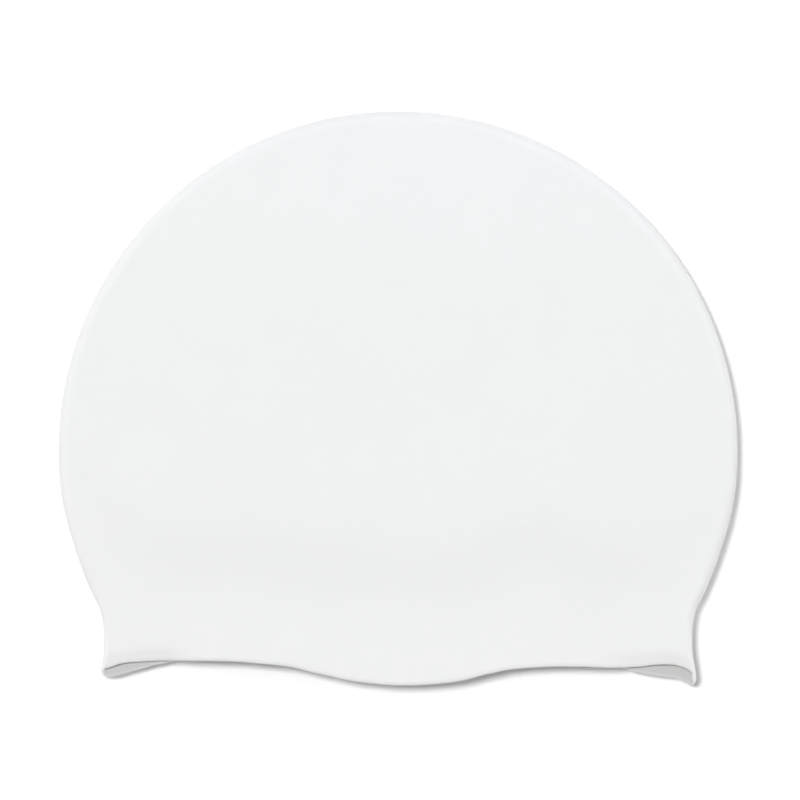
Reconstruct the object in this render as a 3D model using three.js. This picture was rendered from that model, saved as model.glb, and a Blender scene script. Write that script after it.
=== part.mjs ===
// A moulded silicone swim cap for an adult, lying flat on its back wall.
// It is one thin shell with a thicker rim. Lying flat it folds along its left, right and
// top edges, so it has a front wall above, a back wall below and a round fold between
// them. The mouth is open along the bottom.
// Millimetres, +Z up, +Y towards the crown, +X to the right. The origin is the centre of
// the underside.
import * as THREE from 'three';

// Sizes of the cap as it lies.
const capWidth = 225;
const capHeight = 190.3;
const crownHeight = 112.3; // from the widest line up to the crown
const foldHeight = 8.4; // of the round fold, over its outside
const foldDepth = 3.4; // how far in from its edge the fold is round
const frontSwell = 2; // how far the front wall rises between the folds
const swellReach = 70; // distance in from the fold at which the front wall stops rising
const wall = 1;
const rimWall = 1.6; // thickness of the rim
const rimEdge = 1.6; // length of the rim's rounded edge
const rimBand = 8; // height of the band in which the wall thickens to the rim
const rimWave = 8.2; // from the lowest corner of the rim up to its left shoulder

// How finely the shell is divided.
const turnSteps = 64;
const turnCrowding = 0.35; // brings the steps closer together round the folds
const crownSteps = 24;
const crownCrowding = 1.2; // and at the crown
const skirtSteps = 11;
const skirtCrowding = 1.3; // and at the rim
const edgeSteps = 4;

const halfWidth = capWidth / 2;
const crownY = capHeight / 2;
const lowestY = -capHeight / 2;
const widestY = crownY - crownHeight;
const skirtHeight = widestY - lowestY;

// The outline below the widest line: down is a share of the skirt's height, width a
// share of the cap's half width. The cap draws in to a neck and flares out to the rim.
const skirtOutline = [
  { down: 0.0, width: 1.0 },
  { down: 0.135, width: 0.996 },
  { down: 0.27, width: 0.981 },
  { down: 0.405, width: 0.955 },
  { down: 0.54, width: 0.922 },
  { down: 0.61, width: 0.901 },
  { down: 0.68, width: 0.878 },
  { down: 0.745, width: 0.868 },
  { down: 0.815, width: 0.866 },
  { down: 0.88, width: 0.869 },
  { down: 0.94, width: 0.876 },
  { down: 1.0, width: 0.88 },
];

// How flat the cap lies: down is a share of its whole height from the crown, fold a
// share of the fold's height, swell a share of the front wall's rise.
const flatness = [
  { down: 0.0, fold: 1.0, swell: 1.0 },
  { down: 0.68, fold: 1.0, swell: 1.0 },
  { down: 0.78, fold: 0.965, swell: 0.5 },
  { down: 0.88, fold: 0.935, swell: 0.0 },
  { down: 1.0, fold: 0.94, swell: 0.0 },
];

// The front wall sinks to the neck along a wavy line: across runs from the left fold, -1,
// to the right one, and sunk is how much sooner it sinks there, as a share of the height.
const neckLine = [
  { across: -1, sunk: 0.24 },
  { across: -0.88, sunk: 0.115 },
  { across: -0.79, sunk: 0.036 },
  { across: -0.58, sunk: 0.01 },
  { across: -0.29, sunk: -0.004 },
  { across: 0, sunk: -0.025 },
  { across: 0.15, sunk: -0.021 },
  { across: 0.27, sunk: 0.002 },
  { across: 0.39, sunk: 0.035 },
  { across: 0.51, sunk: 0.002 },
  { across: 0.65, sunk: -0.016 },
  { across: 0.83, sunk: 0.014 },
  { across: 0.95, sunk: 0.08 },
  { across: 1, sunk: 0.12 },
];

// The rim all round: turn is in degrees from the right fold over the front wall, left
// fold and back wall, and rise a share of the rim's wave above its lowest corner. The
// front wall's rim dips in the middle and lies a little lower than the back wall's.
const rim = [
  { turn: -10, rise: 0.0 },
  { turn: 0, rise: 0.14 },
  { turn: 6, rise: 0.34 },
  { turn: 11.5, rise: 0.55 },
  { turn: 18, rise: 0.73 },
  { turn: 26, rise: 0.82 },
  { turn: 40, rise: 0.71 },
  { turn: 56, rise: 0.77 },
  { turn: 63, rise: 0.73 },
  { turn: 72, rise: 0.49 },
  { turn: 84, rise: 0.05 },
  { turn: 89, rise: 0.01 },
  { turn: 93.5, rise: 0.06 },
  { turn: 105, rise: 0.46 },
  { turn: 117.5, rise: 0.88 },
  { turn: 133, rise: 1.0 },
  { turn: 150.5, rise: 0.94 },
  { turn: 159, rise: 0.86 },
  { turn: 165, rise: 0.72 },
  { turn: 180, rise: 0.55 },
  { turn: 193, rise: 0.36 },
  { turn: 203, rise: 0.49 },
  { turn: 211, rise: 0.7 },
  { turn: 217, rise: 0.87 },
  { turn: 232, rise: 1.04 },
  { turn: 246, rise: 1.0 },
  { turn: 258.5, rise: 0.68 },
  { turn: 270, rise: 0.45 },
  { turn: 281.5, rise: 0.64 },
  { turn: 293.5, rise: 0.9 },
  { turn: 307, rise: 0.9 },
  { turn: 323, rise: 0.54 },
  { turn: 333, rise: 0.35 },
  { turn: 338.5, rise: 0.3 },
  { turn: 344, rise: 0.12 },
  { turn: 350, rise: 0.0 },
];
const rimStart = rim[0].turn;

// The slope of a table's column at one row: level at the ends and at each peak and dip,
// so that the curve never swings past its rows.
function slopeAtRow(rows, along, column, row) {
  if (row === 0 || row === rows.length - 1) {
    return 0;
  }
  const [above, here, below] = [rows[row - 1], rows[row], rows[row + 1]];
  const before = (here[column] - above[column]) / (here[along] - above[along]);
  const after = (below[column] - here[column]) / (below[along] - here[along]);
  return before * after > 0 ? (2 * before * after) / (before + after) : 0;
}

// A table's column at a place along it, on a smooth curve through its rows.
function readTable(rows, along, column, place) {
  const last = rows.length - 1;
  const inside = THREE.MathUtils.clamp(place, rows[0][along], rows[last][along]);
  let row = 0;
  while (row < last - 1 && inside > rows[row + 1][along]) {
    row += 1;
  }
  const [from, to] = [rows[row], rows[row + 1]];
  const span = to[along] - from[along];
  const share = (inside - from[along]) / span;
  const rise = to[column] - from[column];
  const startSlope = slopeAtRow(rows, along, column, row) * span;
  const endSlope = slopeAtRow(rows, along, column, row + 1) * span;
  const square = 3 * rise - 2 * startSlope - endSlope;
  const cube = startSlope + endSlope - 2 * rise;
  return from[column] + share * (startSlope + share * (square + share * cube));
}

// The crown's outline is half an ellipse, and below the widest line it follows the table.
function halfWidthAt(y) {
  if (y > widestY) {
    const rise = (y - widestY) / crownHeight;
    return halfWidth * Math.sqrt(Math.max(0, 1 - rise * rise));
  }
  return halfWidth * readTable(skirtOutline, 'down', 'width', (widestY - y) / skirtHeight);
}

// How far a place on a wall lies in from the fold.
function distanceFromFold(x, y) {
  if (y > widestY) {
    const out = Math.hypot(x / halfWidth, (y - widestY) / crownHeight);
    return (1 - out) * halfWidth;
  }
  return halfWidthAt(y) - Math.abs(x);
}

// The outer face's height: the back wall is flat on what it lies on, the fold is round,
// and the front wall swells between the folds.
function heightAt(x, y, isFront) {
  const down = (crownY - y) / capHeight;
  const middle = (foldHeight / 2) * readTable(flatness, 'down', 'fold', down);
  const inward = Math.max(0, distanceFromFold(x, y));
  const left = Math.max(0, 1 - inward / foldDepth);
  const bulge = middle * Math.sqrt(1 - left * left);
  if (!isFront) {
    return middle - bulge;
  }
  const flat = 1 - Math.min(1, inward / swellReach);
  const sunk = readTable(neckLine, 'across', 'sunk', x / halfWidth);
  const swell = frontSwell * readTable(flatness, 'down', 'swell', down + sunk);
  return middle + bulge + swell * (1 - flat * flat);
}

// The rim's edge at a turn round the cap.
function rimY(turn) {
  const degrees = THREE.MathUtils.euclideanModulo(THREE.MathUtils.radToDeg(turn) - rimStart, 360);
  return lowestY + rimWave * readTable(rim, 'turn', 'rise', rimStart + degrees);
}

// A point of the outer face. turn goes round the cap from the right fold over the front
// wall. place is 0 at the crown, 1 at the widest line and 2 where the rim's edge starts.
function outerPoint(turn, place) {
  let y = widestY + crownHeight * Math.cos((place * Math.PI) / 2);
  if (place > 1) {
    y = THREE.MathUtils.lerp(widestY, rimY(turn) + rimEdge, place - 1);
  }
  const x = halfWidthAt(y) * Math.cos(turn);
  return new THREE.Vector3(x, y, heightAt(x, y, Math.sin(turn) > 0));
}

// The directions of the outer face at a point: out of the face, and down along it.
function faceDirections(turn, place) {
  const tiny = 1e-4;
  const round = outerPoint(turn + tiny, place).sub(outerPoint(turn - tiny, place));
  const down = outerPoint(turn, place + tiny).sub(outerPoint(turn, place - tiny)).normalize();
  return { out: round.cross(down).normalize(), down };
}

// The wall is even over the cap and thickens on the inside to the rim.
function thicknessAt(turn, y) {
  const above = (y - rimY(turn) - rimEdge) / rimBand;
  return THREE.MathUtils.lerp(rimWall, wall, THREE.MathUtils.smoothstep(above, 0, 1));
}

// The places of the rows from the crown to the rim.
function rowPlaces() {
  const places = [];
  for (let step = 1; step <= crownSteps; step += 1) {
    places.push((step / crownSteps) ** crownCrowding);
  }
  for (let step = 1; step <= skirtSteps; step += 1) {
    places.push(2 - (1 - step / skirtSteps) ** skirtCrowding);
  }
  return places;
}

// One section through the wall at a turn: down the outer face, round the rim's edge and
// up the inner face.
function wallSection(turn, places) {
  const outer = [];
  const inner = [];
  for (const place of places) {
    const point = outerPoint(turn, place);
    const { out } = faceDirections(turn, place);
    outer.push(point);
    inner.unshift(point.clone().addScaledVector(out, -thicknessAt(turn, point.y)));
  }
  const { out, down } = faceDirections(turn, places[places.length - 1]);
  const middle = outer[outer.length - 1].clone().addScaledVector(out, -rimWall / 2);
  const edge = [];
  for (let step = 1; step < edgeSteps; step += 1) {
    const angle = (Math.PI * step) / edgeSteps;
    const point = middle.clone().addScaledVector(out, (rimWall / 2) * Math.cos(angle));
    edge.push(point.addScaledVector(down, rimEdge * Math.sin(angle)));
  }
  return [...outer, ...edge, ...inner];
}

// The shell as one closed body: the sections side by side round the cap, closed over
// the crown by a point outside and a point inside.
function capShellGeometry() {
  const places = rowPlaces();
  const sections = [];
  for (let step = 0; step < turnSteps; step += 1) {
    const even = (2 * Math.PI * step) / turnSteps;
    sections.push(wallSection(even - (turnCrowding * Math.sin(2 * even)) / 2, places));
  }

  const rows = sections[0].length;
  const points = sections.flat();
  const outerCrown = points.push(new THREE.Vector3(0, crownY, foldHeight / 2)) - 1;
  const innerCrown = points.push(new THREE.Vector3(0, crownY - wall, foldHeight / 2)) - 1;

  const faces = [];
  for (let step = 0; step < turnSteps; step += 1) {
    const here = step * rows;
    const next = ((step + 1) % turnSteps) * rows;
    faces.push(outerCrown, next, here);
    for (let row = 0; row < rows - 1; row += 1) {
      faces.push(here + row, next + row, here + row + 1);
      faces.push(next + row, next + row + 1, here + row + 1);
    }
    faces.push(here + rows - 1, next + rows - 1, innerCrown);
  }

  const geometry = new THREE.BufferGeometry().setFromPoints(points);
  geometry.setIndex(faces);
  geometry.computeVertexNormals();
  return geometry;
}

const silicone = new THREE.MeshStandardMaterial({ color: 0xf1f2f2, roughness: 0.45, metalness: 0 });

const capShell = new THREE.Mesh(capShellGeometry(), silicone);
capShell.name = 'cap_shell';

const swimCap = new THREE.Group();
swimCap.name = 'swim_cap';
swimCap.add(capShell);

export default swimCap;
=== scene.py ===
# A white silicone swim cap for an adult, lying flat on its back wall on a white floor and
# seen from straight above. Metres, +Z up, +X to the right, +Y towards the cap's crown.
import math

import bpy
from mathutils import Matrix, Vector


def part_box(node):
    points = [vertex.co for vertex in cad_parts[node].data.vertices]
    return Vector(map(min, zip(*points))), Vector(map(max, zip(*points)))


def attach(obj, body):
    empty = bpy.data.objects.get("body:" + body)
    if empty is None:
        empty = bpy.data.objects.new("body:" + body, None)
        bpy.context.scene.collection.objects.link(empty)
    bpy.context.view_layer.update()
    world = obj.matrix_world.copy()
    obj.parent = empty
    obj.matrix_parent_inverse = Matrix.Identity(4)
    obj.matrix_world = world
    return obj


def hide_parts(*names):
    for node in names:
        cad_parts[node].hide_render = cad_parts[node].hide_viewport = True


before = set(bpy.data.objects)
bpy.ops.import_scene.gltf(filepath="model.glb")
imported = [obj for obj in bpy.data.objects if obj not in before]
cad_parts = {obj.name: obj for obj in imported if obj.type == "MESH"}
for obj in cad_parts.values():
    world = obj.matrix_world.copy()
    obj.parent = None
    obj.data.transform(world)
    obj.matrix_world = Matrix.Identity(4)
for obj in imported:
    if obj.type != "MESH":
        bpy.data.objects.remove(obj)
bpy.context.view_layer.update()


# The cap itself is one piece of silicone rubber, moulded in one go: an even wall of about
# a millimetre that thickens on the inside to a round, wavy rim. Laid down empty, it folds
# along its crown and sides, flat below and softly raised above.
class Wire:
    """One output of a node. An operator on it adds the node for it to the same tree."""

    def __init__(self, socket):
        self.socket = socket

    def node(self, kind, inputs, out=0, **settings):
        """Adds any node, sets it up, feeds its sockets and returns one of its outputs."""
        tree = self.socket.id_data
        made = tree.nodes.new(kind)
        for name, setting in settings.items():
            if name == "line":
                draw_line(made.mapping, setting)
            else:
                setattr(made, name, setting)
        for place, value in inputs.items():
            if isinstance(value, Wire):
                tree.links.new(value.socket, made.inputs[place])
            else:
                made.inputs[place].default_value = value
        return Wire(made.outputs[out])

    def math(self, operation, *others):
        values = dict(enumerate((self, *others)))
        return self.node("ShaderNodeMath", values, operation=operation)

    def vector(self, operation, *others):
        values = dict(enumerate((self, *others)))
        return self.node("ShaderNodeVectorMath", values, operation=operation)

    def scaled(self, factor):
        values = {0: self, "Scale": factor}
        return self.node("ShaderNodeVectorMath", values, operation="SCALE")

    def on_line(self, rows):
        """The height, at this place, of the smooth line through the rows of a table."""
        return self.node("ShaderNodeFloatCurve", {"Value": self}, line=rows)

    def __add__(self, other):
        return self.math("ADD", other)

    __radd__ = __add__

    def __sub__(self, other):
        return self.math("SUBTRACT", other)

    def __rsub__(self, other):
        return self.math("MULTIPLY_ADD", -1.0, other)

    def __mul__(self, other):
        return self.math("MULTIPLY", other)

    __rmul__ = __mul__

    def __truediv__(self, other):
        return self.math("DIVIDE", other)


def draw_line(mapping, rows):
    """Lays a curve node's smooth line through the rows of a table."""
    mapping.use_clip = False
    points = mapping.curves[0].points
    for place, height in rows[1:-1]:
        points.new(place, height)
    points[0].location = rows[0]
    points[-1].location = rows[-1]
    for point in points:
        point.handle_type = "AUTO_CLAMPED"
    mapping.update()


# The cap's sizes in metres. Its width, length and full height come from the frame.
low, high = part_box("cap_shell")
FOLD_HEIGHT = 0.0084
CAP_SIZES = {
    "Half width": (high.x - low.x) / 2,
    "Crown": high.y,
    "Height": high.y - low.y,
    "Crown height": 0.1123,
    "Fold height": FOLD_HEIGHT,
    "Fold depth": 0.0034,
    "Front swell": high.z - FOLD_HEIGHT,
    "Swell reach": 0.07,
    "Corner lift": 0.0032,
    "Corner sag": 0.0013,
    "Corner flat": 0.018,
    "Corner reach": 0.034,
    "Corner height": 0.024,
    "Wall": 0.001,
    "Rim wall": 0.0016,
    "Rim edge": 0.0016,
    "Rim band": 0.008,
    "Rim wave": 0.0082,
}
# The outline from the widest line down: share of the way to the lowest corner, and share
# of the half width. The cap draws in to a neck and flares out to its rim.
SKIRT_OUTLINE = [
    (0.0, 1.0), (0.135, 0.996), (0.27, 0.981), (0.405, 0.955), (0.54, 0.922), (0.61, 0.901),
    (0.68, 0.878), (0.745, 0.868), (0.815, 0.866), (0.88, 0.869), (0.94, 0.876), (1.0, 0.88),
]
# How flat the cap lies: share of the way down from the crown, and share of the fold's
# height, or of the front wall's swell.
FOLD_DOWN = [(0.0, 1.0), (0.68, 1.0), (0.78, 0.965), (0.88, 0.935), (1.0, 0.94)]
SWELL_DOWN = [(0.0, 1.0), (0.68, 1.0), (0.78, 0.5), (0.88, 0.0), (1.0, 0.0)]
# The wavy line along which the front wall sinks to the neck: place from the left fold, -1,
# to the right one, and how much sooner it sinks there, as a share of the cap's height.
NECK_LINE = [
    (-1.0, 0.24), (-0.88, 0.115), (-0.79, 0.036), (-0.58, 0.01), (-0.29, -0.004),
    (0.0, -0.025), (0.15, -0.021), (0.27, 0.002), (0.39, 0.035), (0.51, 0.002),
    (0.65, -0.016), (0.83, 0.014), (0.95, 0.08), (1.0, 0.12),
]
# The two walls come together off the floor at the corners of the neck: share of the
# corner's height above the rim, and share of the back wall's lift or the front rim's sag.
CORNER_LIFT = [(0.0, 1.0), (0.22, 1.0), (0.3, 0.97), (0.45, 0.84), (1.0, 0.0)]
CORNER_SAG = [(0.0, 1.0), (0.06, 0.84), (0.12, 0.5), (0.22, 0.1), (0.34, 0.0), (1.0, 0.0)]
# The rim all round: degrees from the right fold over the front wall, left fold and back
# wall, and share of the rim's wave above its lowest corner.
RIM = [
    (-10, 0.0), (0, 0.14), (6, 0.34), (11.5, 0.55), (18, 0.73), (26, 0.82), (40, 0.71),
    (56, 0.77), (63, 0.73), (72, 0.49), (84, 0.05), (89, 0.01), (93.5, 0.06), (105, 0.46),
    (117.5, 0.88), (133, 1.0), (150.5, 0.94), (159, 0.86), (165, 0.72), (180, 0.55),
    (193, 0.36), (203, 0.49), (211, 0.7), (217, 0.87), (232, 1.04), (246, 1.0), (258.5, 0.68),
    (270, 0.45), (281.5, 0.64), (293.5, 0.9), (307, 0.9), (323, 0.54), (333, 0.35),
    (338.5, 0.3), (344, 0.12), (350, 0.0),
]
# How finely it is divided: columns round the cap, rows down a wall and round the rim's edge.
COLUMNS = 360
WALL_ROWS = 118
EDGE_ROWS = 12
COLUMN_CROWDING = 0.35
ROW_CROWDING = 0.35

cap_tree = bpy.data.node_groups.new("Swim cap", "GeometryNodeTree")
cap_tree.interface.new_socket("Cap", in_out="OUTPUT", socket_type="NodeSocketGeometry")
size_inputs = {}
for name in CAP_SIZES:
    size_inputs[name] = cap_tree.interface.new_socket(
        name, in_out="INPUT", socket_type="NodeSocketFloat"
    )
given = cap_tree.nodes.new("NodeGroupInput")
size = {name: Wire(given.outputs[name]) for name in CAP_SIZES}

widest_y = size["Crown"] - size["Crown height"]
lowest_y = size["Crown"] - size["Height"]


def rim_edge(turn):
    """How far up the cap the rim's round edge starts, at a turn round the cap."""
    first, last = RIM[0][0], RIM[-1][0]
    share = (turn * (180 / math.pi) - first).math("WRAP", last - first, 0.0) / (last - first)
    rows = [((degrees - first) / (last - first), rise) for degrees, rise in RIM]
    rise = share.on_line(rows)
    return lowest_y + rise * size["Rim wave"] + size["Rim edge"]


def outer_point(turn, place):
    """A point of the outer face: place is 0 at the crown, 1 at the widest line, 2 at the rim."""
    swing = place.math("MINIMUM", 1.0) * (math.pi / 2)
    below = (place - 1.0).math("MAXIMUM", 0.0)
    crown_y = widest_y + size["Crown height"] * swing.math("COSINE")
    y = crown_y + (rim_edge(turn) - widest_y) * below
    down_skirt = (widest_y - y).math("MAXIMUM", 0.0) / (widest_y - lowest_y)
    outline = down_skirt.on_line(SKIRT_OUTLINE)
    width = size["Half width"] * outline
    x = width * swing.math("SINE") * turn.math("COSINE")

    # How far the point lies in from the fold, along which the two walls meet.
    across = swing.math("SINE") * turn.math("SINE")
    square = across * across
    inward = width * square / (1.0 + (1.0 - square).math("MAXIMUM", 0.0).math("SQRT"))
    # A corner is raised and lowered in full up to its flat width, and not at all past its reach.
    near = y.node(
        "ShaderNodeMapRange",
        {
            "Value": inward,
            "From Min": size["Corner flat"],
            "From Max": size["Corner reach"],
            "To Min": 1.0,
            "To Max": 0.0,
        },
        interpolation_type="SMOOTHSTEP",
    )
    up = (y - rim_edge(turn) + size["Rim edge"]) / size["Corner height"]
    up = up.math("MINIMUM", 1.0)
    lift = up.on_line(CORNER_LIFT)
    sag = up.on_line(CORNER_SAG)
    down = (size["Crown"] - y) / size["Height"]
    fold = down.on_line(FOLD_DOWN)
    low_z = size["Corner lift"] * near * lift
    high_z = size["Fold height"] * fold - size["Corner sag"] * near * sag
    round_depth = size["Fold depth"] * (high_z - low_z) / size["Fold height"]
    left = (1.0 - inward / round_depth).math("MAXIMUM", 0.0)
    bulge = (high_z - low_z) * 0.5 * (1.0 - left * left).math("MAXIMUM", 0.0).math("SQRT")

    place_across = (x / size["Half width"] + 1.0) * 0.5
    neck_rows = [((side + 1) / 2, sooner) for side, sooner in NECK_LINE]
    sunk = place_across.on_line(neck_rows)
    swell = (down + sunk).on_line(SWELL_DOWN)
    risen = (inward / size["Swell reach"]).math("MINIMUM", 1.0)
    swollen = size["Front swell"] * swell * risen * (2.0 - risen)
    is_front = turn.math("SINE").math("GREATER_THAN", 0.0)
    z = (low_z + high_z) * 0.5 - bulge + is_front * (2.0 * bulge + swollen)
    return x.node("ShaderNodeCombineXYZ", {"X": x, "Y": y, "Z": z})


# A flat grid is wrapped round the cap: its columns go round, and its rows run from the
# crown down the outer face, round the rim's edge and up the inner face.
grid_size = {"Vertices X": COLUMNS + 1, "Vertices Y": 2 * WALL_ROWS + EDGE_ROWS + 1}
grid = size["Wall"].node("GeometryNodeMeshGrid", {"Size X": 1.0, "Size Y": 1.0, **grid_size})
spot = grid.node("GeometryNodeInputPosition", {})
along = spot.node("ShaderNodeSeparateXYZ", {"Vector": spot}, out="X")
down_grid = spot.node("ShaderNodeSeparateXYZ", {"Vector": spot}, out="Y")

even = (along + 0.5) * (2 * math.pi)
turn = even - (2.0 * even).math("SINE") * (COLUMN_CROWDING / 2)
edge_share = EDGE_ROWS / (2 * WALL_ROWS + EDGE_ROWS)
from_edge = (down_grid.math("ABSOLUTE") - edge_share / 2) / (0.5 - edge_share / 2)
wall_share = 1.0 - from_edge.math("MAXIMUM", 0.0)
crowded = (wall_share * (2 * math.pi)).math("SINE") * (ROW_CROWDING / math.pi)
place = 2.0 * wall_share - crowded
round_edge = ((down_grid + edge_share / 2) / edge_share).math("MAXIMUM", 0.0)
round_edge = round_edge.math("MINIMUM", 1.0) * math.pi

# The directions of the outer face: round the cap, down along it, and out of it. At the
# crown, where all columns meet, out is +Y.
STEP = 0.001
round_cap = outer_point(turn + STEP, place).vector("SUBTRACT", outer_point(turn - STEP, place))
down_cap = outer_point(turn, place + STEP).vector("SUBTRACT", outer_point(turn, place - STEP))
down_cap = down_cap.vector("NORMALIZE")
out_of_cap = round_cap.vector("CROSS_PRODUCT", down_cap).vector("NORMALIZE")
out_of_cap = out_of_cap.node(
    "GeometryNodeSwitch",
    {"Switch": place.math("LESS_THAN", STEP), "False": out_of_cap, "True": (0.0, 1.0, 0.0)},
    input_type="VECTOR",
)

outer = outer_point(turn, place)
outer_y = outer.node("ShaderNodeSeparateXYZ", {"Vector": outer}, out="Y")
above_rim = (outer_y - rim_edge(turn)) / size["Rim band"]
thickness = above_rim.node(
    "ShaderNodeMapRange",
    {"Value": above_rim, "To Min": size["Rim wall"], "To Max": size["Wall"]},
    interpolation_type="SMOOTHSTEP",
)
inset = (1.0 - round_edge.math("COSINE")) * thickness * -0.5
edge = round_edge.math("SINE") * size["Rim edge"]
cap_point = outer.vector("ADD", out_of_cap.scaled(inset)).vector("ADD", down_cap.scaled(edge))

# White silicone as it leaves a polished mould: a satin white, hardly mottled, with a very
# fine grain and the faint waves of soft rubber that lies by its own weight. The inner face
# is painted a darker grey: painted shade for the shade that falls inside the cap.
SILICONE_WHITE = (0.808, 0.817, 0.807, 1.0)
SILICONE_PALE = (0.828, 0.837, 0.827, 1.0)
# Painted shade: the grey that the inner face is given for the shade inside the cap.
SILICONE_PAINTED_SHADE = (0.55, 0.552, 0.547, 1.0)
SILICONE_SHADER = {
    "IOR": 1.41,
    "Subsurface Weight": 0.3,
    "Subsurface Radius": (1.0, 0.95, 0.9),
    "Subsurface Scale": 0.001,
    "Sheen Weight": 0.1,
    "Sheen Roughness": 0.5,
}
# How large the grain, the mottled patches and the waves are, how far the grain and the waves
# stand out, and how rough the silicone is, with what the patches and the grain add to it.
GRAIN = 0.00035
MOTTLE = 0.018
WAVE = 0.045
GRAIN_BUMP = {"Strength": 0.25, "Distance": 0.00004}
WAVE_BUMP = {"Strength": 0.35, "Distance": 0.0012}
ROUGHNESS = 0.58
MOTTLE_ROUGHNESS = 0.06
GRAIN_ROUGHNESS = 0.04

white_silicone = bpy.data.materials.new("white_silicone")
white_silicone.use_nodes = True
silicone_tree = white_silicone.node_tree
silicone = silicone_tree.nodes["Principled BSDF"]
here = Wire(silicone_tree.nodes.new("ShaderNodeTexCoord").outputs["Object"])


def set_sockets(shader, values):
    """Sets what is the same all over a surface on the shader's own sockets."""
    for socket_name, value in values.items():
        shader.inputs[socket_name].default_value = value


def noise(feature, detail):
    """Soft noise whose features are about as large as the length given."""
    settings = {"Vector": here, "Scale": 1 / feature, "Detail": detail, "Roughness": 0.5}
    return here.node("ShaderNodeTexNoise", settings)


mottle = noise(MOTTLE, 2.0)
tint = here.node(
    "ShaderNodeMix",
    {0: mottle, 6: SILICONE_WHITE, 7: SILICONE_PALE},
    out=2,
    data_type="RGBA",
)
# Painted shade: the marked inner face is mixed towards the painted-shade grey.
painted_shade_inside = here.node("ShaderNodeAttribute", {}, out="Fac", attribute_name="inside")
colour = here.node(
    "ShaderNodeMix", {0: painted_shade_inside, 6: tint, 7: SILICONE_PAINTED_SHADE}, out=2, data_type="RGBA"
)
grain = noise(GRAIN, 1.0)
waves = here.node("ShaderNodeBump", {"Height": noise(WAVE, 1.0), **WAVE_BUMP})
grained = here.node("ShaderNodeBump", {"Height": grain, "Normal": waves, **GRAIN_BUMP})
roughness = ROUGHNESS + mottle * MOTTLE_ROUGHNESS + grain * GRAIN_ROUGHNESS
silicone_tree.links.new(colour.socket, silicone.inputs["Base Color"])
silicone_tree.links.new(roughness.socket, silicone.inputs["Roughness"])
silicone_tree.links.new(grained.socket, silicone.inputs["Normal"])
set_sockets(silicone, SILICONE_SHADER)

# Marks the inner face, rising over the second half of the rim's round edge, for the painted
# shade.
inside = round_edge.node(
    "ShaderNodeMapRange",
    {"Value": round_edge, "From Min": math.pi / 2, "From Max": math.pi},
    interpolation_type="SMOOTHSTEP",
)
marked = grid.node(
    "GeometryNodeStoreNamedAttribute",
    {"Geometry": grid, "Name": "inside", "Value": inside},
    data_type="FLOAT",
)
shaped = marked.node("GeometryNodeSetPosition", {"Geometry": marked, "Position": cap_point})
closed = shaped.node("GeometryNodeMergeByDistance", {"Geometry": shaped, "Distance": 1e-6})
smooth = closed.node("GeometryNodeSetShadeSmooth", {0: closed})
real = smooth.node("GeometryNodeRealizeInstances", {"Geometry": smooth})
dressed = real.node("GeometryNodeSetMaterial", {"Geometry": real, "Material": white_silicone})
cap_end = cap_tree.nodes.new("NodeGroupOutput")
cap_tree.links.new(dressed.socket, cap_end.inputs["Cap"])

swim_cap = bpy.data.objects.new("silicone_cap", bpy.data.meshes.new("silicone_cap"))
bpy.context.scene.collection.objects.link(swim_cap)
moulding = swim_cap.modifiers.new("Moulding", "NODES")
moulding.node_group = cap_tree
for name, value in CAP_SIZES.items():
    moulding[size_inputs[name].identifier] = value
moulded = swim_cap.evaluated_get(bpy.context.evaluated_depsgraph_get())
cap_mesh = bpy.data.meshes.new_from_object(moulded)
swim_cap.modifiers.remove(moulding)
swim_cap.data = cap_mesh

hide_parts("cap_shell")
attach(swim_cap, "root")

# The floor is a white sheet that reaches far beyond the picture, so bright that only the
# cap's own shadow shows on it.
FLOOR_HALF = 10.0
FLOOR_SHADER = {
    "Base Color": (0.95, 0.95, 0.95, 1.0),
    "Roughness": 0.9,
    "Specular IOR Level": 0.1,
    "Emission Color": (1.0, 1.0, 1.0, 1.0),
    "Emission Strength": 0.03,
}

floor_mesh = bpy.data.meshes.new("floor")
floor_mesh.from_pydata(
    [(x * FLOOR_HALF, y * FLOOR_HALF, 0.0) for x, y in ((-1, -1), (1, -1), (1, 1), (-1, 1))],
    [],
    [(0, 1, 2, 3)],
)
floor = bpy.data.objects.new("floor", floor_mesh)
bpy.context.scene.collection.objects.link(floor)
white_floor = bpy.data.materials.new("white_floor")
white_floor.use_nodes = True
set_sockets(white_floor.node_tree.nodes["Principled BSDF"], FLOOR_SHADER)
floor_mesh.materials.append(white_floor)

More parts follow.
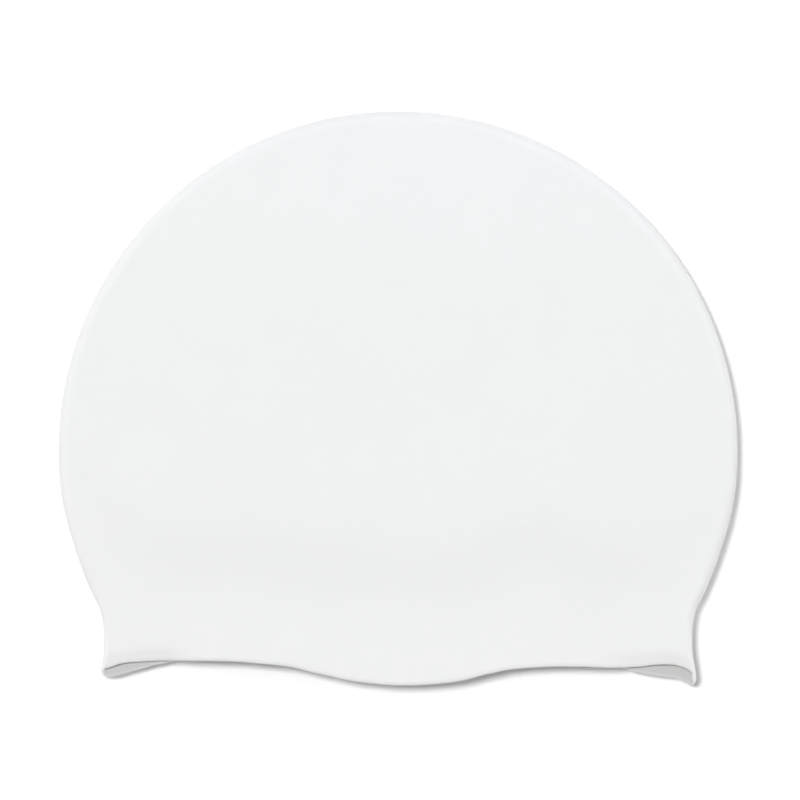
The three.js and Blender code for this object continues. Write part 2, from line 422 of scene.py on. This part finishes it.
# Studio light: a white room, a large soft lamp high at the upper left that gives the narrow
# shadow at the cap's right and lower edges, a low lamp at the right that fills in the
# folds, and a small cool one behind the crown.
ROOM = {"Color": (1.0, 1.0, 1.0, 1.0), "Strength": 0.33}
SUN_LAMPS = {
    "soft_lamp": {"energy": 2.35, "spread": 20, "tilt": 23.8, "turn": 145.5},
    "fill_lamp": {"energy": 1.05, "spread": 20, "tilt": 82, "turn": 0},
}
COOL_LAMP = {
    "energy": 0.04,
    "size": 0.2,
    "colour": (0.4, 0.4, 1.0),
    "place": (0.03, 0.25, 0.2),
    "tilt": -38,
}

room = bpy.data.worlds.new("white_room")
room.use_nodes = True
set_sockets(room.node_tree.nodes["Background"], ROOM)
bpy.context.scene.world = room

for name, lamp in SUN_LAMPS.items():
    sun = bpy.data.lights.new(name, "SUN")
    sun.energy = lamp["energy"]
    sun.angle = math.radians(lamp["spread"])
    sun_object = bpy.data.objects.new(name, sun)
    sun_object.rotation_euler = (0.0, math.radians(lamp["tilt"]), math.radians(lamp["turn"]))
    bpy.context.scene.collection.objects.link(sun_object)

cool = bpy.data.lights.new("cool_lamp", "AREA")
cool.energy = COOL_LAMP["energy"]
cool.size = COOL_LAMP["size"]
cool.color = COOL_LAMP["colour"]
cool_object = bpy.data.objects.new("cool_lamp", cool)
cool_object.location = COOL_LAMP["place"]
cool_object.rotation_euler = (math.radians(COOL_LAMP["tilt"]), 0.0, 0.0)
bpy.context.scene.collection.objects.link(cool_object)
bpy.context.scene.view_settings.view_transform = "Standard"

# The camera looks straight down on the cap from three metres through a long lens, with
# the crown at the top of the picture.
PICTURE_WIDTH = 0.2651
PICTURE_CENTRE = (0.00063, -0.00051)
CAMERA_HEIGHT = 3.0
SENSOR_WIDTH = 36.0

camera = bpy.data.cameras.new("camera")
camera.sensor_width = SENSOR_WIDTH
camera.lens = SENSOR_WIDTH * CAMERA_HEIGHT / PICTURE_WIDTH
camera_object = bpy.data.objects.new("camera", camera)
camera_object.location = (*PICTURE_CENTRE, CAMERA_HEIGHT + FOLD_HEIGHT / 2)
bpy.context.scene.collection.objects.link(camera_object)
bpy.context.scene.camera = camera_object
